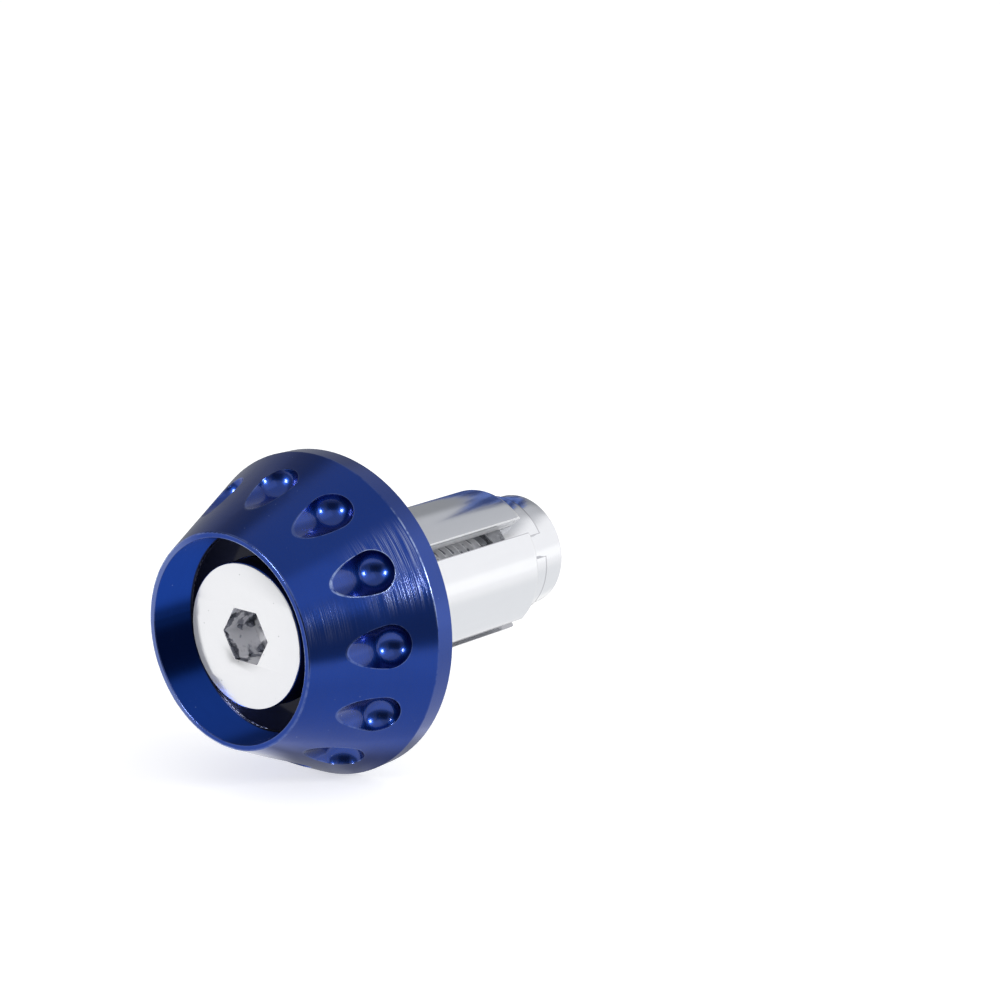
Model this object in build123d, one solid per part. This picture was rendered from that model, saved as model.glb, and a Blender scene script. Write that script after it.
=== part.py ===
from build123d import *
import os

# Bar end weight for a handlebar tube. All sizes are in millimetres.
# The pieces are turned about the X axis. X points from the cup into the bar, and Z points up.
# The origin is on the axis, in the plane where the end of the bar meets the grip washer.

# Bar and expander sleeve
bar_bore_radius = 9.0
sleeve_play = 0.2
sleeve_wall = 1.85
sleeve_length = 24.1
sleeve_edge_round = 0.6
finger_tip_round = 0.8
finger_corner_round = 0.6
mouth_chamfer = 0.35
slot_count = 4
slot_width = 2.0
slot_start = 3.5
slot_angle = 49.5

# Weight body
flange_radius = 19.0
rim_radius = 12.6
rim_width = 0.67
cone_length = 14.2
band_length = 2.5
band_drop = 0.1
cup_depth = 6.0
cup_edge_round = 0.1
edge_round = 0.2
hub_play = 0.2
hub_height = 2.0
hub_edge_round = 0.3
hub_relief = 0.25
dimple_count = 12
dimple_radius = 2.6
dimple_circle_radius = 17.07
dimple_reach = 8.72
dimple_angle = 27.5

# Grip washer
washer_radius = 15.0
washer_thickness = 1.0
washer_play = 0.1
washer_edge_round = 0.3

# Clamp screw
thread_radius = 4.0
shank_play = 0.35
head_radius = 8.5
head_thickness = 5.8
head_recess = 2.74
head_play = 0.12
head_edge_round = 0.15
under_head_length = 40.0
tip_chamfer = 0.8
socket_flats = 6.0
socket_depth = 4.6
socket_angle = 0.0
socket_cone_depth = 1.2
seat_gap = 0.02

# Wedge nut
collar_play = 0.15
collar_length = 3.6
collar_chamfer = 0.4
wedge_bite = 0.4
wedge_length = 5.5
wedge_stand = 2.9
wedge_play = 0.08
groove_count = 4
groove_width = 2.8
groove_angle = 69.0
thread_play = 0.05
nut_mouth_chamfer = 0.5

# Sizes and places that follow from those above
sleeve_radius = bar_bore_radius - sleeve_play
sleeve_bore_radius = sleeve_radius - sleeve_wall
hub_radius = bar_bore_radius - hub_play
relief_radius = hub_radius - hub_relief
cup_radius = rim_radius - rim_width
collar_radius = sleeve_bore_radius - collar_play
shoulder_radius = sleeve_bore_radius + wedge_bite
back_radius = flange_radius - band_drop

bar_seat = 0.0
flange_back = bar_seat - washer_thickness
widest = flange_back - band_length
rim = widest - cone_length
cup_floor = rim + cup_depth
head_face = rim + head_recess
head_seat = head_face + head_thickness
hub_end = bar_seat + hub_height
sleeve_end = hub_end + sleeve_length
shoulder = sleeve_end + wedge_stand
wedge_nose = shoulder - wedge_length
nut_end = shoulder + collar_length
screw_end = head_seat + under_head_length
wedge_slope = (shoulder_radius - collar_radius) / wedge_length


def turned(points, rounds=()):
    """Solid turned about X from (x, radius) points; rounds holds pairs of a corner point and its radius."""
    section = make_face(Polyline(*points, close=True))
    for corner, radius in rounds:
        vertex = section.vertices().sort_by_distance((*corner, 0))[0]
        section = fillet(vertex, radius)
    return revolve(section, Axis.X)


def round_about(piece, count, first_angle):
    """Copies of a cutter at equal angles about X, the first one turned from +Y towards +Z."""
    return [Rot(first_angle + step * 360 / count, 0, 0) * piece for step in range(count)]


def dimple_cutter():
    """Ball-ended cutter that is sunk into the cone from the front, parallel to the axis."""
    start = rim - dimple_radius
    ball = rim + dimple_reach
    shank = Pos((start + ball) / 2, 0, 0) * Rot(0, 90, 0) * Cylinder(dimple_radius, ball - start)
    tip = Pos(ball, 0, 0) * Sphere(dimple_radius)
    return Pos(0, dimple_circle_radius, 0) * (shank + tip)


def weight_body():
    """Turned cone with a cup for the screw head in front and a hub, relieved at its root, at the back."""
    hole_radius = thread_radius + shank_play
    seat_radius = head_radius + head_play
    blank = turned(
        [
            (rim, cup_radius),
            (rim, rim_radius),
            (widest, flange_radius),
            (flange_back, back_radius),
            (flange_back, relief_radius),
            (bar_seat, relief_radius),
            (bar_seat, hub_radius),
            (hub_end, hub_radius),
            (hub_end, hole_radius),
            (head_seat, hole_radius),
            (head_seat, seat_radius),
            (cup_floor, seat_radius),
            (cup_floor, cup_radius),
        ],
        [
            ((rim, cup_radius), cup_edge_round),
            ((rim, rim_radius), edge_round),
            ((widest, flange_radius), edge_round),
            ((flange_back, back_radius), edge_round),
            ((hub_end, hub_radius), hub_edge_round),
            ((cup_floor, cup_radius), edge_round),
        ],
    )
    return blank - round_about(dimple_cutter(), dimple_count, dimple_angle)


def grip_washer():
    """Flat plastic washer that lies on the back of the flange, round the hub."""
    inner = hub_radius + washer_play
    return turned(
        [
            (flange_back, inner),
            (flange_back, washer_radius),
            (bar_seat, washer_radius),
            (bar_seat, inner),
        ],
        [((bar_seat, washer_radius), washer_edge_round)],
    )


def slot_cutter():
    """Saw slot of the sleeve, seen from outside, with the finger corners rounded off at its open end."""
    start = hub_end + slot_start
    half = slot_width / 2
    bend = finger_corner_round
    mid = bend * (1 - 0.5 ** 0.5)
    with BuildPart() as cutter:
        with BuildSketch(Plane.XY):
            with BuildLine():
                Polyline(
                    (sleeve_end - bend, -half),
                    (start, -half),
                    (start, half),
                    (sleeve_end - bend, half),
                )
                ThreePointArc(
                    (sleeve_end - bend, half), (sleeve_end - mid, half + mid), (sleeve_end, half + bend)
                )
                Polyline(
                    (sleeve_end, half + bend),
                    (sleeve_end + bend, half + bend),
                    (sleeve_end + bend, -half - bend),
                    (sleeve_end, -half - bend),
                )
                ThreePointArc(
                    (sleeve_end, -half - bend), (sleeve_end - mid, -half - mid), (sleeve_end - bend, -half)
                )
            make_face()
        extrude(amount=bar_bore_radius)
    return Rot(-90, 0, 0) * cutter.part


def expander_sleeve():
    """Tube that butts against the hub; its slots leave fingers that the wedge nut spreads in the bar."""
    mouth_radius = shoulder_radius - wedge_stand * wedge_slope + wedge_play
    taper_depth = (mouth_radius - sleeve_bore_radius) / wedge_slope
    tube = turned(
        [
            (hub_end, sleeve_bore_radius),
            (hub_end, sleeve_radius),
            (sleeve_end, sleeve_radius),
            (sleeve_end, mouth_radius + mouth_chamfer),
            (sleeve_end - mouth_chamfer, mouth_radius),
            (sleeve_end - taper_depth, sleeve_bore_radius),
        ],
        [((hub_end, sleeve_radius), sleeve_edge_round), ((sleeve_end, sleeve_radius), finger_tip_round)],
    )
    return tube - round_about(slot_cutter(), slot_count, slot_angle)


def wedge_nut():
    """Nut whose lobes rise from the nose to a shoulder and spread the fingers; grooves part the lobes."""
    hole = thread_radius
    core = turned(
        [
            (wedge_nose, hole),
            (wedge_nose, collar_radius),
            (nut_end - collar_chamfer, collar_radius),
            (nut_end, collar_radius - collar_chamfer),
            (nut_end, hole + nut_mouth_chamfer),
            (nut_end - nut_mouth_chamfer, hole),
        ]
    )
    lobes = turned(
        [
            (wedge_nose, hole),
            (wedge_nose, collar_radius),
            (shoulder, shoulder_radius),
            (shoulder, hole),
        ]
    )
    reach = bar_bore_radius
    middle = (wedge_nose + shoulder) / 2
    groove = Pos(middle, reach / 2, 0) * Box(2 * wedge_length, reach, groove_width)
    return core + (lobes - round_about(groove, groove_count, groove_angle))


def clamp_screw():
    """Screw with a large flat head that sits in the cup and a hexagon socket in its face."""
    shank_radius = thread_radius - thread_play
    seat = head_seat - seat_gap
    blank = turned(
        [
            (head_face, 0),
            (head_face, head_radius),
            (seat, head_radius),
            (seat, shank_radius),
            (screw_end - tip_chamfer, shank_radius),
            (screw_end, shank_radius - tip_chamfer),
            (screw_end, 0),
        ],
        [((head_face, head_radius), head_edge_round)],
    )
    drill_radius = socket_flats / 2
    face = Plane(origin=(head_face, 0, 0), x_dir=(0, 1, 0), z_dir=(1, 0, 0))
    hexagon = RegularPolygon(drill_radius, 6, major_radius=False, rotation=socket_angle)
    socket = extrude(face * hexagon, amount=socket_depth)
    bottom = head_face + socket_depth
    drilled = turned(
        [
            (head_face, 0),
            (head_face, drill_radius),
            (bottom, drill_radius),
            (bottom + socket_cone_depth, 0),
        ]
    )
    return blank - socket - drilled


pieces = {
    "weight_body": weight_body,
    "grip_washer": grip_washer,
    "expander_sleeve": expander_sleeve,
    "wedge_nut": wedge_nut,
    "clamp_screw": clamp_screw,
}

os.makedirs("parts", exist_ok=True)
for name, make in pieces.items():
    export_step(make(), f"parts/{name}.step")
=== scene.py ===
import logging
import math
from collections.abc import Callable, Sequence
from dataclasses import dataclass
from enum import Enum
from functools import reduce

import bpy
from mathutils import Matrix, Quaternion, Vector


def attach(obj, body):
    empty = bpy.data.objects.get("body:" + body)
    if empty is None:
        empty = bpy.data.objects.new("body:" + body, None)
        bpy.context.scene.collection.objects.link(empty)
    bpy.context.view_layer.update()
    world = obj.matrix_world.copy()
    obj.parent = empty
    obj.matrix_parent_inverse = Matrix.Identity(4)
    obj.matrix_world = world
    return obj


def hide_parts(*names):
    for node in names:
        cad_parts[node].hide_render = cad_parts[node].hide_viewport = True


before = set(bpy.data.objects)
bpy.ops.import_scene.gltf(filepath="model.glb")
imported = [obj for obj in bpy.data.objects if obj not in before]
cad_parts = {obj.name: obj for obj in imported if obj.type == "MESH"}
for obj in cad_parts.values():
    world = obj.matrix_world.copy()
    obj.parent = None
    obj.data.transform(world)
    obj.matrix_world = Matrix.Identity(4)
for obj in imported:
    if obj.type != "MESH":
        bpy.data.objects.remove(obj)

LOG = logging.getLogger("bar_end_weight")
MM = 0.001

Piece = bpy.types.Object
Material = bpy.types.Material
Pair = tuple[float, float]
Triple = tuple[float, float, float]
Colour = Triple
WHITE: Colour = (1.0, 1.0, 1.0)


class Body(Enum):
    """The moving bodies of the frame that new pieces ride on."""

    SCREW = "screw"
    NUT = "nut"


def operator(operation: str, swapped: bool = False) -> Callable[["Signal", "Value"], "Signal"]:
    """Makes an arithmetic method for signals.

    Args:
        operation: The Math node's operation.
        swapped: Whether the signal is the second operand.

    Returns:
        The method.
    """

    def method(signal: "Signal", other: "Value") -> "Signal":
        """Works on a signal and another value."""
        pair = (other, signal) if swapped else (signal, other)
        return signal.graph.math(operation, *pair)

    return method


class Signal:
    """A value socket of a shader that takes part in Python arithmetic."""

    def __init__(self, graph: "Graph", socket: bpy.types.NodeSocket | None) -> None:
        """Wraps a socket.

        Args:
            graph: The node tree builder that owns the socket.
            socket: The output socket, or None for a node that has none.
        """
        self.graph = graph
        self.socket = socket

    __add__ = __radd__ = operator("ADD")
    __sub__ = operator("SUBTRACT")
    __rsub__ = operator("SUBTRACT", swapped=True)
    __mul__ = operator("MULTIPLY")
    __truediv__ = operator("DIVIDE")
    __rtruediv__ = operator("DIVIDE", swapped=True)

    def __abs__(self) -> "Signal":
        """Drops the sign."""
        return self.graph.math("ABSOLUTE", self)


Value = Signal | float


class Graph:
    """Builds the nodes of one material or world."""

    FLECK_CORE = 0.6

    def __init__(self, tree: bpy.types.NodeTree) -> None:
        """Empties a node tree and keeps it for building.

        Args:
            tree: The node tree of a material or a world.
        """
        self.tree = tree
        self.tree.nodes.clear()

    def node(
        self,
        kind: str,
        settings: dict[str, object] | None = None,
        inputs: dict[str | int, object] | None = None,
        output: str | int = 0,
    ) -> Signal:
        """Adds one node.

        Args:
            kind: The node's type name.
            settings: Properties of the node, set before its inputs.
            inputs: Values or signals for its input sockets, by name or number.
            output: The output socket to hand back.

        Returns:
            The wanted output as a signal.
        """
        made = self.tree.nodes.new(kind)
        for name, value in (settings or {}).items():
            setattr(made, name, value)
        for key, value in (inputs or {}).items():
            if isinstance(value, Signal):
                self.tree.links.new(value.socket, made.inputs[key])
            else:
                made.inputs[key].default_value = value
        return Signal(self, made.outputs[output] if len(made.outputs) else None)

    def math(self, operation: str, *values: Value) -> Signal:
        """Adds one Math node with an operation and its operands."""
        return self.node("ShaderNodeMath", {"operation": operation}, dict(enumerate(values)))

    def most(self, *values: Value) -> Value:
        """Picks the largest of several values."""
        return reduce(lambda first, second: self.math("MAXIMUM", first, second), values)

    def step(self, value: Signal, low: float, high: float) -> Signal:
        """Rises smoothly from 0 at one value to 1 at another.

        Args:
            value: What the step follows.
            low: Where it is 0.
            high: Where it is 1; it may lie below the other.

        Returns:
            The smooth step.
        """
        ends = (low, high) if low < high else (high, low)
        rise = self.node(
            "ShaderNodeMapRange",
            {"interpolation_type": "SMOOTHSTEP", "clamp": True},
            {"Value": value, "From Min": ends[0], "From Max": ends[1]},
        )
        return rise if low < high else 1.0 - rise

    def near(self, value: Signal, middle: float, width: float, fade: float) -> Signal:
        """Marks where a value lies within a width of a middle; the mask falls to 0 over a fade."""
        return self.step(abs(value - middle), width + fade, width)

    def within(self, value: Signal, low: float, high: float, fade: float) -> Signal:
        """Marks where a value lies from low to high; the mask falls to 0 over a fade outside."""
        return self.near(value, (low + high) / 2, (high - low) / 2, fade)

    def at_least(self, least: float, mask: Signal) -> Signal:
        """Lifts a mask so that 0 becomes a least value and 1 stays 1."""
        return mask * (1.0 - least) + least

    def vector(self, x: Value, y: Value, z: Value) -> Signal:
        """Puts three values together as one vector."""
        return self.node("ShaderNodeCombineXYZ", None, {"X": x, "Y": y, "Z": z})

    def noise(self, place: Signal, detail: float = 2.0, rough: float = 0.5, scale: float = 1.0) -> Signal:
        """Adds noise from 0 to 1; detail adds finer layers and rough makes them stronger."""
        inputs = {"Vector": place, "Scale": scale, "Detail": detail, "Roughness": rough}
        return self.node("ShaderNodeTexNoise", None, inputs)

    def flecks(self, place: Signal, scale: float, size: float, share: float) -> Signal:
        """Scatters small round flecks, one for a share of the cells of a grid.

        Args:
            place: The texture place.
            scale: Cells per unit.
            size: Radius of a fleck as a share of a cell.
            share: How many of the cells hold one.

        Returns:
            A mask that is 1 in a fleck.
        """
        cell = {"Vector": place, "Scale": scale}
        near = self.node("ShaderNodeTexVoronoi", None, cell, "Distance")
        tint = self.node("ShaderNodeTexVoronoi", None, cell, "Color")
        pick = self.node("ShaderNodeSeparateColor", None, {"Color": tint}, "Red")
        return self.step(near, size, size * self.FLECK_CORE) * self.math("LESS_THAN", pick, share)

    def blend(self, factor: Value, first: "Signal | Colour", second: "Signal | Colour") -> Signal:
        """Mixes two colours.

        Args:
            factor: The share of the second colour.
            first: The first colour.
            second: The second colour.

        Returns:
            The mixed colour.
        """
        made = self.node("ShaderNodeMix", {"data_type": "RGBA", "clamp_factor": True}, {0: factor}, 2)
        for slot, value in ((6, first), (7, second)):
            target = made.socket.node.inputs[slot]
            if isinstance(value, Signal):
                self.tree.links.new(value.socket, target)
            else:
                target.default_value = (*value, 1.0)
        return made

    def clouded(self, factor: Value, colour: Colour, shade: float) -> Signal:
        """Mixes a colour by a factor with its darker self, of which a shade is left."""
        return self.blend(factor, colour, tuple(part * shade for part in colour))

    def along(self, direction: Signal, axis: Vector) -> Signal:
        """Measures how much of a direction lies along a fixed axis."""
        inputs = {0: direction, 1: tuple(axis)}
        return self.node("ShaderNodeVectorMath", {"operation": "DOT_PRODUCT"}, inputs, "Value")

    def lean(self, normal: Signal, towards: Sequence[float], amount: Value) -> Signal:
        """Leans a shading normal towards a fixed direction.

        Args:
            normal: The normal to lean.
            towards: The direction.
            amount: How much of the direction is added.

        Returns:
            The leaning normal.
        """
        push = self.node("ShaderNodeVectorMath", {"operation": "SCALE"}, {0: tuple(towards), "Scale": amount})
        added = self.node("ShaderNodeVectorMath", {"operation": "ADD"}, {0: normal, 1: push})
        return self.node("ShaderNodeVectorMath", {"operation": "NORMALIZE"}, {0: added})

    def bump(self, height: Signal, depth: float) -> Signal:
        """Turns a height into a normal; a height of 1 stands for a depth in millimetres."""
        inputs = {"Strength": 1.0, "Distance": depth * MM, "Height": height}
        return self.node("ShaderNodeBump", None, inputs, "Normal")

    def show(self, shader: Signal) -> None:
        """Adds the material output for a shader."""
        self.node("ShaderNodeOutputMaterial", None, {"Surface": shader})

    def show_surface(self, inputs: dict[str, object]) -> None:
        """Adds the surface shader with its inputs, and the material output."""
        self.show(self.node("ShaderNodeBsdfPrincipled", None, inputs, "BSDF"))


class TurnedPlace:
    """Where a point lies on a piece turned about X, in millimetres and radians."""

    AXIS_GUARD = 0.3
    EDGE_CORE = 0.35

    def __init__(self, graph: Graph) -> None:
        """Reads the object coordinates.

        Args:
            graph: The material's node builder.
        """
        self.graph = graph
        point = graph.node("ShaderNodeTexCoord", None, None, "Object")
        apart = graph.node("ShaderNodeSeparateXYZ", None, {"Vector": point}).socket.node
        self.x, self.y, self.z = (Signal(graph, apart.outputs[axis]) / MM for axis in "XYZ")
        self.radius = graph.math("SQRT", self.y * self.y + self.z * self.z)
        self.angle = graph.math("ARCTAN2", self.z, self.y)
        self.along = self.x + self.radius

    def point(self, scale: float = 1.0) -> Signal:
        """Gives the point itself as a texture place, in millimetres times a scale."""
        return self.graph.vector(self.x * scale, self.y * scale, self.z * scale)

    def rings(self, lines_per_mm: float, drift: float) -> Signal:
        """Draws noise out into rings, as a turning tool leaves them.

        Args:
            lines_per_mm: How closely the rings lie.
            drift: How quickly a ring changes on its way round.

        Returns:
            Noise from 0 to 1.
        """
        inverse = drift / (self.radius + self.AXIS_GUARD)
        return self.graph.noise(
            self.graph.vector(self.along * lines_per_mm, self.y * inverse, self.z * inverse)
        )

    def edge(self, x: float, radius: float, width: float) -> Signal:
        """Marks a circular edge.

        Args:
            x: The edge's x.
            radius: Its radius.
            width: How far from it the mark ends.

        Returns:
            1 on the edge, falling to 0 at the width.
        """
        dx = self.x - x
        dr = self.radius - radius
        return self.graph.step(self.graph.math("SQRT", dx * dx + dr * dr), width, width * self.EDGE_CORE)

    def turned_from(self, angle: float, count: int = 1) -> Signal:
        """Measures the signed angle from the nearest of a count of directions, one given in degrees."""
        half = math.pi / count
        return self.graph.math("WRAP", self.angle - math.radians(angle), half, -half)

    def across(self, angle: float, count: int) -> Signal:
        """Measures the signed distance from the nearest of a count of planes through the axis."""
        return self.radius * self.graph.math("SINE", self.turned_from(angle, count))

    def sector(self, middle: float, half: float, fade: float) -> Signal:
        """Marks half an angle on each side of a middle, with a fade, all in degrees."""
        return self.graph.step(abs(self.turned_from(middle)), math.radians(half + fade), math.radians(half))


def choose(*pieces: Piece) -> None:
    """Selects pieces alone and makes the last one active.

    Args:
        pieces: The pieces; without any, the selection is cleared.
    """
    bpy.ops.object.select_all(action="DESELECT")
    for piece in pieces:
        piece.select_set(True)
        bpy.context.view_layer.objects.active = piece


def keep() -> Piece:
    """Takes the primitive that was just added, with its place applied to its mesh."""
    bpy.ops.object.transform_apply(location=True, rotation=True, scale=True)
    return bpy.context.object


class Bench:
    """Shapes one mesh piece about the X axis with Blender's modelling operators; sizes are in millimetres."""

    SAME = 0.001
    ON_PLANE = 0.01
    RING_REACH = 0.05
    MERGE = 0.001
    STAND = 1.0
    SMOOTH_BELOW = 28.0

    def __init__(self, name: str) -> None:
        """Starts a piece.

        Args:
            name: The finished piece's name.
        """
        self.name = name
        self.piece: Piece | None = None

    def rod(
        self, start: float, end: float, radius: float, sides: int, end_radius: float | None = None
    ) -> Piece:
        """Adds a straight or tapered rod along X.

        Args:
            start: Its lower x.
            end: Its upper x.
            radius: Its radius at the lower x.
            sides: Its number of sides; a corner lies on +Y.
            end_radius: Its radius at the upper x, where that is another one.

        Returns:
            The rod.
        """
        choose()
        bpy.ops.mesh.primitive_cone_add(
            vertices=sides,
            radius1=radius * MM,
            radius2=(radius if end_radius is None else end_radius) * MM,
            depth=(end - start) * MM,
            location=((start + end) / 2 * MM, 0, 0),
            rotation=(0, math.pi / 2, 0),
        )
        return keep()

    def block(self, start: float, end: float, width: float, reach: float, angle: float) -> Piece:
        """Adds a block that points away from the axis.

        Args:
            start: Its lower x.
            end: Its upper x.
            width: Its width across.
            reach: Its outer distance from the axis.
            angle: Its direction from +Y towards +Z in degrees.

        Returns:
            The block.
        """
        turn = math.radians(angle)
        middle = reach / 2 * MM
        choose()
        bpy.ops.mesh.primitive_cube_add(
            size=1,
            location=((start + end) / 2 * MM, middle * math.cos(turn), middle * math.sin(turn)),
            rotation=(turn, 0, 0),
            scale=((end - start) * MM, reach * MM, width * MM),
        )
        return keep()

    def apply(self, target: Piece, kind: str, settings: dict[str, object]) -> None:
        """Adds a modifier to an object and applies it.

        Args:
            target: The object.
            kind: The modifier's type.
            settings: Its properties.
        """
        choose(target)
        bpy.ops.object.modifier_add(type=kind)
        modifier = target.modifiers[-1]
        for key, value in settings.items():
            setattr(modifier, key, value)
        bpy.ops.object.modifier_apply(modifier=modifier.name)

    def combine(self, tool: Piece, operation: str) -> None:
        """Joins a tool to the piece, or cuts it away, and removes the tool.

        Args:
            tool: The other object.
            operation: UNION or DIFFERENCE.
        """
        settings = {"operation": operation, "solver": "EXACT", "object": tool}
        self.apply(self.piece, "BOOLEAN", settings)
        bpy.data.objects.remove(tool, do_unlink=True)

    def edit(
        self,
        target: Piece,
        operate: Callable[[], object],
        wanted: Callable[[Vector, Vector], bool] = lambda first, second: True,
    ) -> None:
        """Runs a mesh operator on edges of an object.

        Args:
            target: The object.
            operate: Runs the operator.
            wanted: Says of an edge's two ends, in millimetres, whether the edge is taken.
        """
        choose(target)
        bpy.ops.object.mode_set(mode="EDIT")
        bpy.ops.mesh.select_mode(type="EDGE")
        bpy.ops.mesh.select_all(action="DESELECT")
        bpy.ops.object.mode_set(mode="OBJECT")
        mesh = target.data
        for edge in mesh.edges:
            first, second = (mesh.vertices[i].co / MM for i in edge.vertices)
            edge.select = wanted(first, second)
        bpy.ops.object.mode_set(mode="EDIT")
        operate()
        bpy.ops.object.mode_set(mode="OBJECT")

    def bevel_ring(self, x: float, inner: float, outer: float, width: float, segments: int) -> None:
        """Bevels the edges of the piece that lie in one plane across X, from one radius to another.

        Args:
            x: The plane.
            inner: The smaller radius.
            outer: The larger radius.
            width: The bevel's width.
            segments: Its number of segments.
        """
        low, high = inner - self.RING_REACH, outer + self.RING_REACH

        self.edit(
            self.piece,
            lambda: bpy.ops.mesh.bevel(offset=width * MM, segments=segments, affect="EDGES"),
            lambda *ends: all(
                abs(end.x - x) < self.ON_PLANE and low < math.hypot(end.y, end.z) < high for end in ends
            ),
        )

    def threaded_rod(self, start: float, end: float, thread: "Thread", play: float) -> Piece:
        """Makes a rod with a helical thread, capped at both ends.

        Args:
            start: Its lower x.
            end: Its upper x.
            thread: The thread's sizes.
            play: Growth of the profile in radius.

        Returns:
            The rod.
        """
        outline = thread.outline()
        choose()
        bpy.ops.mesh.primitive_circle_add(vertices=len(outline), radius=MM, fill_type="NOTHING")
        rod = keep()
        first_turn = math.floor(start / thread.pitch) - 1
        for vertex, (x, radius) in zip(rod.data.vertices, outline):
            vertex.co = ((x + first_turn * thread.pitch) * MM, (radius + play) * MM, 0)
        self.edit(
            rod,
            lambda: bpy.ops.mesh.delete(type="EDGE_FACE"),
            lambda first, second: abs(abs(first.x - second.x) - thread.pitch) < self.SAME,
        )
        settings = {
            "axis": "X",
            "angle": math.tau,
            "screw_offset": thread.pitch * MM,
            "iterations": math.ceil(end / thread.pitch) + 1 - first_turn,
            "steps": thread.steps,
            "render_steps": thread.steps,
            "use_merge_vertices": True,
            "merge_threshold": self.MERGE * MM,
        }
        self.apply(rod, "SCREW", settings)
        for x, side in ((start, -1.0), (end, 1.0)):
            plane = {"plane_co": (x * MM, 0, 0), "plane_no": (side, 0, 0)}
            self.edit(rod, lambda: bpy.ops.mesh.bisect(**plane, use_fill=True, clear_outer=True))
        self.edit(rod, lambda: bpy.ops.mesh.normals_make_consistent(inside=False))
        return rod

    def finish(self, body: Body, node: str, material: Material) -> None:
        """Names, smooths and dresses the piece and puts it in a CAD node's place.

        Args:
            body: The body that it rides on.
            node: The CAD node that it stands for.
            material: Its finish.
        """
        piece = self.piece
        piece.name = self.name
        piece.data.name = self.name
        choose(piece)
        bpy.ops.object.shade_smooth_by_angle(angle=math.radians(self.SMOOTH_BELOW))
        piece.data.materials.clear()
        piece.data.materials.append(material)
        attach(piece, body.value)
        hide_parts(node)
        LOG.info("%s has %d faces", self.name, len(piece.data.polygons))


@dataclass(frozen=True)
class Thread:
    """Sizes of the M8 thread in millimetres."""

    pitch: float = 1.25
    crest: float = 3.95
    depth: float = 0.62
    steps: int = 40

    def outline(self) -> list[Pair]:
        """Draws one pitch of the profile, from root to root.

        Returns:
            Its (x, radius) points.
        """
        flat_ends = (0.0, 0.125, 0.4375, 0.5625, 0.875, 1.0)
        root = self.crest - self.depth
        radii = (root, root, self.crest, self.crest, root, root)
        return [(share * self.pitch, radius) for share, radius in zip(flat_ends, radii)]


@dataclass(frozen=True)
class ClampScrew:
    """Screw with a broad flat head, a broached hexagon socket and a threaded shank, in millimetres."""

    face_x: float = -14.96
    seat_x: float = -9.18
    end_x: float = 30.84
    head_radius: float = 8.5
    edge_round: float = 0.15
    socket_inradius: float = 3.0
    socket_depth: float = 4.6
    socket_cone: float = 1.2
    socket_lead: float = 0.10
    thread_start: float = -6.0
    tip_chamfer: float = 0.7
    joint_overlap: float = 0.5
    hair: float = 0.01
    thread: Thread = Thread()

    def build(self, material: Material) -> None:
        """Models the screw.

        Args:
            material: Its finish.
        """
        bench = Bench("socket_clamp_screw")
        shank = bench.threaded_rod(self.thread_start, self.end_x - self.hair, self.thread, 0.0)
        self.point_tip(shank)
        bench.piece = bench.rod(self.face_x, self.seat_x, self.head_radius, 128)
        neck_ends = (self.seat_x - self.joint_overlap, self.thread_start + self.joint_overlap)
        bench.combine(bench.rod(*neck_ends, self.thread.crest, 64), "UNION")
        corner = self.socket_inradius / math.cos(math.pi / 6)
        bottom = self.face_x + self.socket_depth
        bench.combine(bench.rod(self.face_x - bench.STAND, bottom, corner, 6), "DIFFERENCE")
        point = bench.rod(bottom - self.hair, bottom + self.socket_cone, self.socket_inradius, 48, 0.0)
        bench.combine(point, "DIFFERENCE")
        bench.bevel_ring(self.face_x, self.socket_inradius, corner, self.socket_lead, 2)
        bench.bevel_ring(self.face_x, self.head_radius, self.head_radius, self.edge_round, 3)
        choose(shank, bench.piece)
        bpy.ops.object.join()
        bench.finish(Body.SCREW, "clamp_screw", material)

    def point_tip(self, shank: Piece) -> None:
        """Draws the last turns of the thread in to a pointed tip.

        Args:
            shank: The threaded shank.
        """
        for vertex in shank.data.vertices:
            radius = math.hypot(vertex.co.y, vertex.co.z)
            limit = (self.thread.crest - self.tip_chamfer) * MM + (self.end_x * MM - vertex.co.x)
            if radius > limit:
                vertex.co.yz = vertex.co.yz * (limit / radius)


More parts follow.
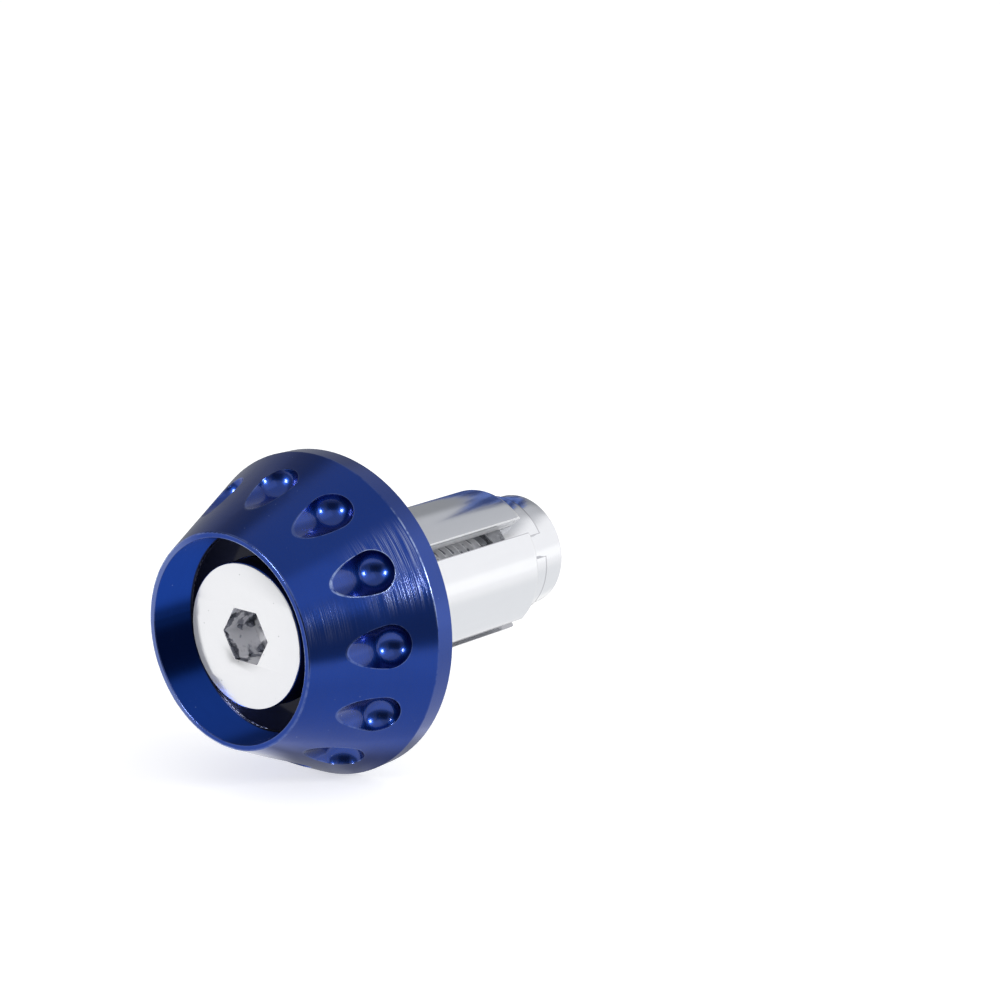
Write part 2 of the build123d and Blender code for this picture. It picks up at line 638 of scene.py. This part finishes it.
@dataclass(frozen=True)
class WedgeNut:
    """Nut with four wedge lobes, a plain collar and a threaded bore, in millimetres and degrees."""

    nose_x: float = 23.5
    shoulder_x: float = 29.0
    end_x: float = 32.6
    collar_radius: float = 6.8
    shoulder_radius: float = 7.35
    collar_chamfer: float = 0.4
    edge_break: float = 0.06
    groove_count: int = 4
    groove_width: float = 2.8
    groove_angle: float = 69.0
    thread: Thread = Thread()
    thread_play: float = 0.08
    mouth: float = 0.5
    mouth_reach: float = 0.6
    mouth_stand: float = 0.5

    def build(self, material: Material) -> None:
        """Models the nut.

        Args:
            material: Its finish.
        """
        bench = Bench("threaded_wedge_nut")
        bench.piece = bench.rod(self.nose_x, self.shoulder_x, self.collar_radius, 128, self.shoulder_radius)
        low, reach = self.nose_x - bench.STAND, self.shoulder_radius + bench.STAND
        for step in range(self.groove_count):
            angle = self.groove_angle + step * 360 / self.groove_count
            groove = bench.block(low, self.shoulder_x + bench.STAND, self.groove_width, reach, angle)
            bench.combine(groove, "DIFFERENCE")
        bench.bevel_ring(self.shoulder_x, self.shoulder_radius, self.shoulder_radius, self.edge_break, 2)
        lobes = bench.piece
        bench.piece = bench.rod(self.nose_x, self.end_x, self.collar_radius, 128)
        bench.bevel_ring(self.end_x, self.collar_radius, self.collar_radius, self.collar_chamfer, 4)
        bench.combine(lobes, "UNION")
        tap = bench.threaded_rod(low, self.end_x + bench.STAND, self.thread, self.thread_play)
        bench.combine(tap, "DIFFERENCE")
        mouth = bench.rod(
            self.end_x - self.mouth - self.mouth_reach,
            self.end_x + self.mouth_stand,
            self.thread.crest - self.mouth_reach,
            96,
            self.thread.crest + self.mouth + self.mouth_stand,
        )
        bench.combine(mouth, "DIFFERENCE")
        bench.finish(Body.NUT, "wedge_nut", material)


def new_material(name: str) -> tuple[Material, Graph]:
    """Makes an empty node material.

    Args:
        name: The material's name.

    Returns:
        The material and the builder of its nodes.
    """
    material = bpy.data.materials.new(name)
    material.use_nodes = True
    return material, Graph(material.node_tree)


@dataclass(frozen=True)
class WeightShape:
    """Sizes of the weight body that its finish follows, in millimetres and degrees."""

    rim_x: float = -17.7
    widest_x: float = -3.5
    back_x: float = -1.0
    rim_radius: float = 12.6
    cup_radius: float = 11.93
    flange_radius: float = 19.0
    back_radius: float = 18.9
    cup_floor_x: float = -11.7
    dimple_count: int = 12
    dimple_angle: float = 27.5
    dimple_circle: float = 17.07
    dimple_radius: float = 2.6
    ball_x: float = -8.98

    def on_cone(self, place: TurnedPlace) -> Signal:
        """Marks the outside of the cone, with its dimples.

        Args:
            place: The place on the turned body.

        Returns:
            The mask.
        """
        graph = place.graph
        beyond_cup = graph.step(place.radius, self.cup_radius + 0.3, self.cup_radius + 0.6)
        return graph.within(place.x, self.rim_x + 0.3, self.widest_x - 0.3, 0.15) * beyond_cup

    def sunk(self, place: TurnedPlace) -> Signal:
        """Measures how far a place on the turned body lies below the cone, in radius."""
        slope = (self.flange_radius - self.rim_radius) / (self.widest_x - self.rim_x)
        return self.rim_radius + (place.x - self.rim_x) * slope - place.radius

    def dimple_distance(self, place: TurnedPlace) -> Signal:
        """Measures the distance from the path of the ball that cuts the nearest dimple.

        Args:
            place: The place on the turned body.

        Returns:
            The distance in millimetres.
        """
        graph = place.graph
        turned = place.turned_from(self.dimple_angle, self.dimple_count)
        dx = graph.math("MAXIMUM", place.x - self.ball_x, 0.0)
        dy = place.radius * graph.math("COSINE", turned) - self.dimple_circle
        dz = place.radius * graph.math("SINE", turned)
        return graph.math("SQRT", dx * dx + dy * dy + dz * dz)


@dataclass(frozen=True)
class AnodisedBlue:
    """Clear blue anodising over turned aluminium."""

    shape: WeightShape
    colour: Colour = (0.012, 0.052, 0.315)
    bare_and_highlight: Colour = (0.42, 0.52, 0.80)
    scratched_and_lit: Colour = (0.62, 0.68, 0.86)
    # The cup floor's near black is painted shade in the recess
    floor: Colour = (0.012, 0.014, 0.030)
    # Pale flecks on the cup floor: residue and painted glints
    residue_and_glint: Colour = (0.50, 0.55, 0.50)
    cloud_shade: float = 0.82
    roughness: float = 0.15
    relief: float = 0.012
    coat: float = 0.30
    dimple_coat: float = 0.45
    wall_lean: float = 1.2
    worn_and_lit_angle: float = 147.5
    edge_wear_and_highlight: float = 0.8
    back_wear: float = 0.15
    dimple_wear_and_highlight: float = 0.65
    scuff_and_glint_share: float = 0.42
    speck_share: float = 0.5

    def wear_and_highlight(self, place: TurnedPlace, sunk: Signal, on_cone: Signal) -> Signal:
        """Marks the edges where the colour is rubbed off, and painted highlights on edges and dimple rims in
        set sectors.

        Args:
            place: The place on the turned body.
            sunk: The depth below the cone.
            on_cone: The mask of the cone.

        Returns:
            How bare the metal is, with the painted highlights.
        """
        graph = place.graph
        shape = self.shape
        # An edge's x and radius, its width and least wear, and middle, half and fade of its barest sector,
        # which is also a painted highlight
        edges = (
            (shape.rim_x, shape.rim_radius, 0.24, 0.20, -22.0, 62.0, 18.0),
            (shape.rim_x, shape.cup_radius, 0.16, 0.15, 140.0, 35.0, 20.0),
            (shape.widest_x, shape.flange_radius, 0.16, 0.12, 150.0, 12.0, 14.0),
        )
        rubbed_and_highlight = place.edge(shape.back_x, shape.back_radius, 0.16) * self.back_wear
        for x, radius, width, least, *sector in edges:
            edge = place.edge(x, radius, width) * graph.at_least(least, place.sector(*sector))
            rubbed_and_highlight = graph.most(rubbed_and_highlight, edge)
        chafe = graph.noise(place.point(1.1), detail=4.0, rough=0.65)
        away = shape.dimple_distance(place)
        dimples = graph.near(away, shape.dimple_radius + 0.02, 0.03, 0.06) * graph.step(sunk, 0.16, 0.06)
        # The dimple rims near one angle are worn and also carry a painted highlight
        dimples = dimples * graph.at_least(0.25, place.sector(self.worn_and_lit_angle, half=10.0, fade=5.0))
        return graph.most(
            rubbed_and_highlight * graph.at_least(0.25, graph.step(chafe, 0.36, 0.56)) * self.edge_wear_and_highlight,
            dimples * on_cone * graph.step(chafe, 0.32, 0.54) * self.dimple_wear_and_highlight,
        )

    def scuffs_and_glint(self, place: TurnedPlace) -> Signal:
        """Marks the scratches beside the worn dimple, which follow the turning lines, and the painted
        highlight streak where those lines catch the light.

        Args:
            place: The place on the turned body.

        Returns:
            How scratched and lit the surface is.
        """
        graph = place.graph
        drawn_out = graph.vector(place.along * 13.0, place.angle * 2.6, 0.0)
        scratch_glint_lines = graph.step(graph.noise(drawn_out, detail=1.0), 0.50, 0.68)
        upper = place.sector(149.0, half=9.0, fade=10.0) * graph.step(place.along, 3.0, 10.0)
        lower = place.sector(162.0, half=4.0, fade=8.0) * graph.step(place.along, 4.0, -1.0) * 0.45
        return scratch_glint_lines * graph.most(upper, lower)

    def pale_and_highlight(self, place: TurnedPlace) -> Signal:
        """Marks a painted highlight on the ring of the rim in one sector, and the band of the flange, which
        is a little paler all round.

        Args:
            place: The place on the turned body.

        Returns:
            How pale the colour is.
        """
        graph = place.graph
        shape = self.shape
        # Painted highlight on the rim's outer edge in one sector
        ring = graph.near(place.x, shape.rim_x, 0.03, 0.05) * place.sector(0.0, half=45.0, fade=30.0)
        band = graph.step(place.x, shape.widest_x + 0.05, shape.widest_x + 0.15)
        band = band * graph.step(place.radius, shape.back_radius - 0.4, shape.back_radius - 0.2)
        return graph.most(ring * 0.25, band * 0.05)

    def make(self) -> Material:
        """Builds the material.

        Returns:
            The finished material.
        """
        material, graph = new_material("blue_anodised_turned")
        place = TurnedPlace(graph)
        shape = self.shape
        sunk = shape.sunk(place)
        on_cone = shape.on_cone(place)
        inside = graph.step(sunk, 0.05, 0.12) * on_cone
        outside = 1.0 - inside
        wear_and_highlight = self.wear_and_highlight(place, sunk, on_cone)
        scuff_and_glint = self.scuffs_and_glint(place) * outside * on_cone
        cup_floor = graph.near(place.x, shape.cup_floor_x, 0.05, 0.05)
        cup_floor = cup_floor * graph.step(place.radius, shape.cup_radius - 0.15, shape.cup_radius - 0.25)

        fine = place.rings(lines_per_mm=5.0, drift=3.0)
        coarse = place.rings(lines_per_mm=1.3, drift=1.6)
        ball_marks = graph.noise(graph.vector(place.x * 3.0, 0.0, 0.0), detail=1.0)
        cloud = graph.noise(place.point(0.25), detail=3.0)
        specks = graph.flecks(place.point(), scale=1.1, size=0.07, share=0.22)
        fuzz = graph.step(graph.noise(place.point(3.0), detail=4.0, rough=0.7), 0.58, 0.70)
        fuzz = fuzz * place.sector(135.0, half=40.0, fade=20.0)

        tint = graph.clouded(cloud * 0.5 + coarse * 0.3, self.colour, self.cloud_shade)
        # Paler metal for worn edges and for painted highlights on lit edges and dimple rims
        tint = graph.blend(graph.most(wear_and_highlight, self.pale_and_highlight(place)), tint, self.bare_and_highlight)
        # Paler blue along the scratches, which is also a painted highlight streak on the turning lines
        tint = graph.blend(scuff_and_glint * self.scuff_and_glint_share, tint, self.scratched_and_lit)
        tint = graph.blend(specks * self.speck_share, tint, self.bare_and_highlight)
        # Painted shade on the cup floor, with flecks of residue and painted glints
        tint = graph.blend(cup_floor, tint, graph.blend(fuzz, self.floor, self.residue_and_glint))
        # Painted shade in the corner between the cup wall and its floor
        tint = graph.blend(place.edge(shape.cup_floor_x, shape.cup_radius, 0.42), tint, self.floor)

        rough = self.roughness + fine * 0.05 + scuff_and_glint * 0.04 + wear_and_highlight * 0.05 + inside * 0.10 + cup_floor * 0.30
        lines = fine * outside + ball_marks * inside
        height = lines * (0.5 + inside * 0.9) + coarse * 0.5 + scuff_and_glint * 0.1
        cup_wall = graph.near(place.radius, shape.cup_radius, 0.03, 0.03)
        cup_wall = cup_wall * graph.within(place.x, shape.rim_x + 0.12, shape.cup_floor_x - 0.12, 0.06)
        normal = graph.lean(graph.bump(height, self.relief), (-1.0, 0.0, 0.0), cup_wall * self.wall_lean)
        surface = {
            "Base Color": tint,
            "Metallic": 1.0,
            "Roughness": rough,
            "Coat Weight": self.coat + inside * self.dimple_coat,
            "Coat Roughness": 0.08,
            "Coat IOR": 1.5,
            "Normal": normal,
        }
        graph.show_surface(surface)
        return material


@dataclass(frozen=True)
class EdgeLines:
    """Painted shade in the sharp edges and joints of a bright piece, with a painted highlight on one edge of
    each cut, in millimetres and degrees.
    """

    ring_x: float
    ring_radius: float
    cut_angle: float
    cut_half: float
    cut_start: float
    cut_end: float
    inner_radius: float
    cut_count: int = 4
    painted_highlight_weight: float = 0.0

    def mask(self, place: TurnedPlace) -> Signal:
        """Marks the painted shade.

        Args:
            place: The place on the piece.

        Returns:
            1 in the lines and 0 elsewhere.
        """
        graph = place.graph
        ring = place.edge(self.ring_x, self.ring_radius, 0.28)
        across = abs(place.across(self.cut_angle, self.cut_count))
        cut = graph.near(across, self.cut_half + 0.03, 0.04, 0.05)
        cut = cut * graph.step(place.x, self.cut_start - 0.1, self.cut_start)
        cut = cut * graph.step(place.x, self.cut_end + 0.1, self.cut_end)
        outer = graph.step(place.radius, self.inner_radius, self.inner_radius + 0.1)
        return graph.most(ring, cut) * outer * (1.0 - self.painted_highlight_line(place))

    def painted_highlight_line(self, place: TurnedPlace) -> Signal:
        """Marks one edge of each cut, which gets a painted white highlight instead.

        Args:
            place: The place on the piece.

        Returns:
            The weight of the white line.
        """
        graph = place.graph
        across = place.across(self.cut_angle, self.cut_count)
        line = graph.near(across, -self.cut_half - 0.08, 0.10, 0.08)
        line = line * graph.step(place.radius, self.inner_radius, self.inner_radius + 0.1)
        line = line * graph.step(place.x, self.cut_start, self.cut_start + 0.3)
        return line * graph.step(place.x, self.cut_end, self.cut_end - 0.6) * self.painted_highlight_weight


@dataclass(frozen=True)
class BrightAluminium:
    """Polished turned aluminium of the sleeve and the nut."""

    name: str
    lines: EdgeLines
    bore_radius: float
    colour: Colour = (0.90, 0.91, 0.93)
    speck: Colour = (0.45, 0.45, 0.47)
    edge_shade: Colour = (0.40, 0.40, 0.43)
    cloud_shade: float = 0.93
    roughness: float = 0.10
    relief: float = 0.004

    def make(self) -> Material:
        """Builds the material.

        Returns:
            The finished material.
        """
        material, graph = new_material(self.name)
        place = TurnedPlace(graph)
        fine = place.rings(lines_per_mm=6.0, drift=2.0)
        streak_place = graph.vector(place.x * 0.12, place.y * 2.2, place.z * 2.2)
        streaks = graph.noise(streak_place, detail=3.0)
        cloud = graph.noise(place.point(0.5), detail=3.0)
        specks = graph.flecks(place.point(), scale=0.9, size=0.06, share=0.2)
        bore = graph.step(place.radius, self.bore_radius + 0.1, self.bore_radius)
        # The bore is dull, and the painted highlight lines lose their metal so that they show white
        dull_bore_and_highlight = graph.most(bore, self.lines.painted_highlight_line(place))
        tint = graph.clouded(cloud * 0.4 + streaks * 0.3, self.colour, self.cloud_shade)
        tint = graph.blend(specks * 0.4, tint, self.speck)
        # Painted shade along the edges and joints
        tint = graph.blend(self.lines.mask(place) * 0.7, tint, self.edge_shade)
        surface = {
            "Base Color": tint,
            "Metallic": 1.0 - dull_bore_and_highlight,
            "Roughness": self.roughness + fine * 0.04 + streaks * 0.05 + bore * 0.35,
            "Normal": graph.bump(fine * 0.6 + streaks * 0.4, self.relief),
        }
        graph.show_surface(surface)
        return material


@dataclass(frozen=True)
class WhitePlastic:
    """Smooth moulded plastic of the grip washer."""

    colour: Colour = (0.74, 0.77, 0.86)
    cloud_shade: float = 0.93
    roughness: float = 0.34
    relief: float = 0.008

    def make(self) -> Material:
        """Builds the material.

        Returns:
            The finished material.
        """
        material, graph = new_material("white_plastic_moulded")
        place = TurnedPlace(graph)
        cloud = graph.noise(place.point(0.4), detail=3.0)
        grain = graph.noise(place.point(9.0))
        rings = place.rings(lines_per_mm=3.0, drift=1.5)
        surface = {
            "Base Color": graph.clouded(cloud * 0.5, self.colour, self.cloud_shade),
            "Metallic": 0.0,
            "Roughness": self.roughness + grain * 0.1,
            "IOR": 1.46,
            "Normal": graph.bump(grain * 0.5 + rings * 0.5, self.relief),
        }
        graph.show_surface(surface)
        return material


@dataclass(frozen=True)
class SatinSteel:
    """Plated satin steel of the clamp screw, with painted shade and painted glints in its broached socket and
    painted shade on the head's side, in millimetres.
    """

    face_x: float = -14.96
    neck_x: float = -8.46
    socket_radius: float = 3.5
    head_radius: float = 8.5
    shank_radius: float = 4.1
    colour: Colour = (0.91, 0.915, 0.94)
    pit: Colour = (0.35, 0.35, 0.38)
    socket_shade_colour: Colour = (0.30, 0.31, 0.35)
    painted_glint_colour: Colour = (0.97, 0.97, 1.0)
    side_shade_colour: Colour = (0.06, 0.06, 0.08)
    cloud_shade: float = 0.94
    roughness: float = 0.11
    relief: float = 0.006

    def make(self) -> Material:
        """Builds the material.

        Returns:
            The finished material.
        """
        material, graph = new_material("satin_steel_plated")
        place = TurnedPlace(graph)
        rings = place.rings(lines_per_mm=4.0, drift=1.2)
        cloud = graph.noise(place.point(0.6), detail=3.0)
        pits = graph.flecks(place.point(), scale=0.8, size=0.09, share=0.3)
        broach_place = graph.vector(place.x * 0.8, place.y * 3.5, place.z * 3.5)
        broach = graph.noise(broach_place, detail=3.0)

        inside = graph.step(place.x, self.face_x + 0.03, self.face_x + 0.12)
        inside = inside * graph.step(place.radius, self.socket_radius + 0.1, self.socket_radius)
        # Patches of painted glint in the socket, which also lose metal and gain roughness
        painted_glints = graph.step(graph.noise(place.point(0.62)), 0.44, 0.56)
        face = graph.step(place.x, self.face_x + 0.03, self.face_x + 0.01)
        # The side of the head below the face is painted shade in the gap
        side = graph.step(place.x, self.face_x + 0.12, self.face_x + 0.25)
        side = side * graph.step(place.radius, self.head_radius - 0.1, self.head_radius - 0.03)
        shank = graph.step(place.radius, self.shank_radius + 0.1, self.shank_radius)
        shank = shank * graph.step(place.x, self.neck_x, self.neck_x + 0.5)

        tint = graph.clouded(cloud * 0.35, self.colour, self.cloud_shade)
        tint = graph.blend(pits * 0.6, tint, self.pit)
        # Painted shade in the socket, with patches of painted glint
        tint = graph.blend(inside, tint, graph.blend(painted_glints, self.socket_shade_colour, self.painted_glint_colour))
        # Painted shade on the head's side
        tint = graph.blend(side, tint, self.side_shade_colour)
        rough = self.roughness + rings * 0.05 + inside * painted_glints * 0.25 + shank * 0.35 + side * 0.2
        surface = {
            "Base Color": tint,
            "Metallic": 1.0 - graph.most(shank * 0.8, face * 0.35 + inside * painted_glints * 0.5),
            "Roughness": rough,
            "Normal": graph.bump(rings * 0.5 + cloud * 0.5 + broach * inside * 2.5, self.relief),
        }
        graph.show_surface(surface)
        return material


def towards(azimuth: float, elevation: float) -> Vector:
    """Gives the direction at an azimuth, from -Y towards +X, and an elevation, in degrees."""
    a, e = math.radians(azimuth), math.radians(elevation)
    return Vector((math.sin(a) * math.cos(e), -math.cos(a) * math.cos(e), math.sin(e)))


@dataclass(frozen=True)
class SoftPanel:
    """A soft-edged patch of the studio's surroundings, placed by its direction in degrees."""

    azimuth: float
    elevation: float
    half_width: float
    half_height: float
    fade: float
    colour: Colour

    def mask(self, graph: Graph, direction: Signal) -> Signal:
        """Marks the patch.

        Args:
            graph: The world's node builder.
            direction: The direction of view as a vector.

        Returns:
            1 on the patch and 0 off it.
        """
        forward = towards(self.azimuth, self.elevation)
        side = towards(self.azimuth + 90.0, 0.0)
        top = forward.cross(side)
        ahead, across, upward = (graph.along(direction, axis) for axis in (forward, side, top))
        fade = math.radians(self.fade)
        sideways = graph.math("ARCTAN2", across, ahead)
        wide = graph.near(sideways, 0.0, math.radians(self.half_width), fade)
        return wide * graph.near(graph.math("ARCSINE", upward), 0.0, math.radians(self.half_height), fade)


@dataclass(frozen=True)
class MirrorCard:
    """A small glowing card that only shows in mirrors, a painted reflection, in millimetres and degrees."""

    name: str
    place: Triple
    facing: Triple
    size: Pair
    turn: float
    dark: Colour
    light: Colour
    border: Colour
    border_start: float
    border_end: float
    ragged: float

    def hang(self) -> None:
        """Hangs the card."""
        choose()
        bpy.ops.mesh.primitive_plane_add(size=1, location=Vector(self.place) * MM)
        card = bpy.context.object
        card.name = self.name
        card.scale = (self.size[0] * MM, self.size[1] * MM, 1)
        card.rotation_mode = "QUATERNION"
        spin = Quaternion((0.0, 0.0, 1.0), math.radians(self.turn))
        card.rotation_quaternion = Vector(self.facing).to_track_quat("Z", "Y") @ spin
        card.visible_camera = False
        card.visible_diffuse = False
        card.visible_shadow = False
        card.data.materials.append(self.paint())

    def paint(self) -> Material:
        """Builds the card's glow.

        Returns:
            The material.
        """
        material, graph = new_material(self.name + "_paper")
        point = graph.node("ShaderNodeTexCoord", None, None, "Object")
        apart = graph.node("ShaderNodeSeparateXYZ", None, {"Vector": point}).socket.node
        reach = [abs(Signal(graph, apart.outputs[axis])) * 2.0 for axis in "XY"]
        # Lighter and darker blotches of the painted reflection
        reflection_blotches = graph.step(graph.noise(point, detail=3.0, scale=5.0), 0.42, 0.60)
        tear = (graph.noise(point, detail=3.0, scale=9.0) - 0.5) * self.ragged
        edge = graph.step(graph.most(*reach) + tear, self.border_start, self.border_end)
        tone = graph.blend(edge, graph.blend(reflection_blotches, self.dark, self.light), self.border)
        glow = graph.node("ShaderNodeEmission", None, {"Color": tone, "Strength": 1.0})
        graph.show(glow)
        return material


@dataclass(frozen=True)
class Studio:
    """Camera, surroundings, lamps and floor.

    The photographed part leans on its flange and its plug, so the surroundings are turned by that lean.
    """

    camera_place: Triple = (-280.37, -268.47, 118.03)
    camera_right: Triple = (0.6557, -0.7551, 0.0)
    camera_ahead: Triple = (0.7287, 0.6328, -0.2618)
    lens: float = 126.0
    sensor: float = 36.0
    clip: Pair = (0.01, 50.0)
    table_up: Triple = (-0.33, -0.286, 0.90)
    floor_z: float = -19.0
    floor_half: float = 3.0
    paper: float = 0.80
    paper_glow: float = 0.55
    table_light: float = 1.0
    wall_light: float = 0.25
    ceiling_light: float = 0.58
    wall_rise: Pair = (-0.06, 0.08)
    ceiling_rise: Pair = (0.46, 0.66)
    lamp_distance: float = 0.9
    cards: Sequence[MirrorCard] = (
        # Painted reflection: a glowing navy card that puts blue blotches in the sleeve's mirror image
        MirrorCard(
            name="painted_reflection_card",
            place=(49.7, 16.85, 17.2),
            facing=(-0.7287, -0.57, -0.36),
            size=(12.5, 44.0),
            turn=-31.0,
            dark=(0.030, 0.050, 0.16),
            light=(0.12, 0.19, 0.50),
            border=(0.30, 0.31, 0.34),
            border_start=0.78,
            border_end=0.94,
            ragged=0.9,
        ),
        # Painted shadow: a grey glowing card under the part that darkens its reflections of the table
        MirrorCard(
            name="painted_shadow_card",
            place=(2.0, -2.0, -19.6),
            facing=(-0.33, -0.286, 0.90),
            size=(27.0, 27.0),
            turn=0.0,
            dark=(0.26, 0.27, 0.31),
            light=(0.34, 0.35, 0.39),
            border=WHITE,
            border_start=0.55,
            border_end=1.0,
            ragged=0.1,
        ),
    )
    # Azimuth, elevation, half width, half height and fade in degrees, and the colour
    panels: Sequence[SoftPanel] = (
        SoftPanel(100.0, 44.0, 28.0, 9.0, 8.0, (0.50, 0.51, 0.54)),
        SoftPanel(58.0, 10.0, 20.0, 20.0, 14.0, (0.98, 0.98, 1.0)),
        SoftPanel(355.0, 46.0, 30.0, 10.0, 10.0, (0.84, 0.86, 0.88)),
        SoftPanel(306.0, 6.0, 26.0, 15.0, 5.0, (0.07, 0.07, 0.075)),
        SoftPanel(134.0, 6.0, 22.0, 22.0, 8.0, (0.28, 0.29, 0.31)),
        SoftPanel(50.0, -52.0, 34.0, 28.0, 12.0, (0.84, 0.85, 0.87)),
        SoftPanel(47.0, -3.0, 22.0, 4.0, 5.0, (1.12, 1.12, 1.13)),
    )

    def aim_camera(self) -> None:
        """Sets the camera where the photograph was taken from."""
        data = bpy.data.cameras.new("photo_camera")
        data.lens = self.lens
        data.sensor_width = self.sensor
        data.clip_start, data.clip_end = self.clip
        camera = bpy.data.objects.new("photo_camera", data)
        bpy.context.scene.collection.objects.link(camera)
        ahead = Vector(self.camera_ahead).normalized()
        right = Vector(self.camera_right)
        right = (right - ahead * right.dot(ahead)).normalized()
        turn = Matrix((right, right.cross(ahead), -ahead)).transposed().to_4x4()
        camera.matrix_world = Matrix.Translation(Vector(self.camera_place) * MM) @ turn
        bpy.context.scene.camera = camera

    def light_world(self) -> None:
        """Builds the surroundings: a white table, a dim wall and a pale ceiling, with soft panels."""
        world = bpy.data.worlds.new("studio_world")
        world.use_nodes = True
        bpy.context.scene.world = world
        graph = Graph(world.node_tree)
        direction = graph.node("ShaderNodeTexCoord", None, None, "Generated")
        rise = graph.along(direction, Vector(self.table_up).normalized())
        wall = graph.step(rise, *self.wall_rise)
        tone = graph.blend(wall, (self.table_light,) * 3, (self.wall_light,) * 3)
        tone = graph.blend(graph.step(rise, *self.ceiling_rise), tone, (self.ceiling_light,) * 3)
        for panel in self.panels:
            tone = graph.blend(panel.mask(graph, direction), tone, panel.colour)
        seen = graph.node("ShaderNodeLightPath", None, None, "Is Camera Ray")
        tone = graph.blend(seen, tone, WHITE)
        shade = graph.node("ShaderNodeBackground", None, {"Color": tone, "Strength": 1.0})
        graph.node("ShaderNodeOutputWorld", None, {"Surface": shade})

    def hang_lamp(self, name: str, azimuth: float, elevation: float, size: float, power: float) -> None:
        """Hangs one square softbox that faces the part.

        Args:
            name: The lamp's name.
            azimuth: Its direction, in degrees from -Y towards +X.
            elevation: Its height above the horizon in degrees.
            size: Side of the square in metres.
            power: Its power in watts.
        """
        data = bpy.data.lights.new(name, "AREA")
        data.shape = "SQUARE"
        data.size = size
        data.energy = power
        lamp = bpy.data.objects.new(name, data)
        bpy.context.scene.collection.objects.link(lamp)
        away = towards(azimuth, elevation)
        lamp.location = away * self.lamp_distance
        lamp.rotation_mode = "QUATERNION"
        lamp.rotation_quaternion = away.to_track_quat("Z", "Y")

    def lay_floor(self) -> None:
        """Lays the plain white floor, which keeps the part's shadow."""
        bpy.ops.mesh.primitive_plane_add(size=2 * self.floor_half, location=(0, 0, self.floor_z * MM))
        floor = bpy.context.object
        floor.name = "floor"
        floor.visible_glossy = False
        material, graph = new_material("floor_paper")
        paper = graph.node("ShaderNodeBsdfDiffuse", None, {"Color": (*(self.paper,) * 3, 1.0)})
        seen = graph.node("ShaderNodeLightPath", None, None, "Is Camera Ray")
        light = {"Color": (*WHITE, 1.0), "Strength": seen * self.paper_glow}
        glow = graph.node("ShaderNodeEmission", None, light)
        graph.show(graph.node("ShaderNodeAddShader", None, {0: paper, 1: glow}))
        floor.data.materials.append(material)

    def build(self) -> None:
        """Sets up the whole studio."""
        self.aim_camera()
        self.light_world()
        self.hang_lamp("right_softbox", azimuth=11.0, elevation=22.0, size=0.17, power=2.6)
        self.hang_lamp("left_softbox", azimuth=255.0, elevation=20.0, size=0.20, power=3.4)
        self.lay_floor()
        for card in self.cards:
            card.hang()
        bpy.context.scene.view_settings.view_transform = "Standard"
        LOG.info("studio ready")


def dress(node: str, material: Material) -> None:
    """Gives a CAD node a new material.

    Args:
        node: The node's name.
        material: The material.
    """
    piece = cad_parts[node]
    for slot in piece.material_slots:
        slot.material = material
    LOG.info("dressed %s with %s", node, material.name)


def main() -> None:
    """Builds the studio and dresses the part."""
    logging.basicConfig(level=logging.INFO, format="%(name)s: %(message)s")
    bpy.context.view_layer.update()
    bpy.ops.object.select_all(action="DESELECT")
    Studio().build()
    dress("weight_body", AnodisedBlue(WeightShape()).make())
    dress("grip_washer", WhitePlastic().make())
    # The ring's x and radius, the cuts' angle, half width, start and end, and the inner radius of both
    finger_lines = EdgeLines(25.85, 8.585, 49.5, 1.0, 5.5, 26.1, 8.2, painted_highlight_weight=0.9)
    lobe_lines = EdgeLines(29.0, 7.35, 69.0, 1.4, 23.5, 29.0, 6.75)
    dress("expander_sleeve", BrightAluminium("bright_aluminium_sleeve", finger_lines, bore_radius=8.3).make())
    ClampScrew().build(SatinSteel().make())
    WedgeNut().build(BrightAluminium("bright_aluminium_nut", lobe_lines, bore_radius=0.0).make())


if __name__ == "__main__":
    main()
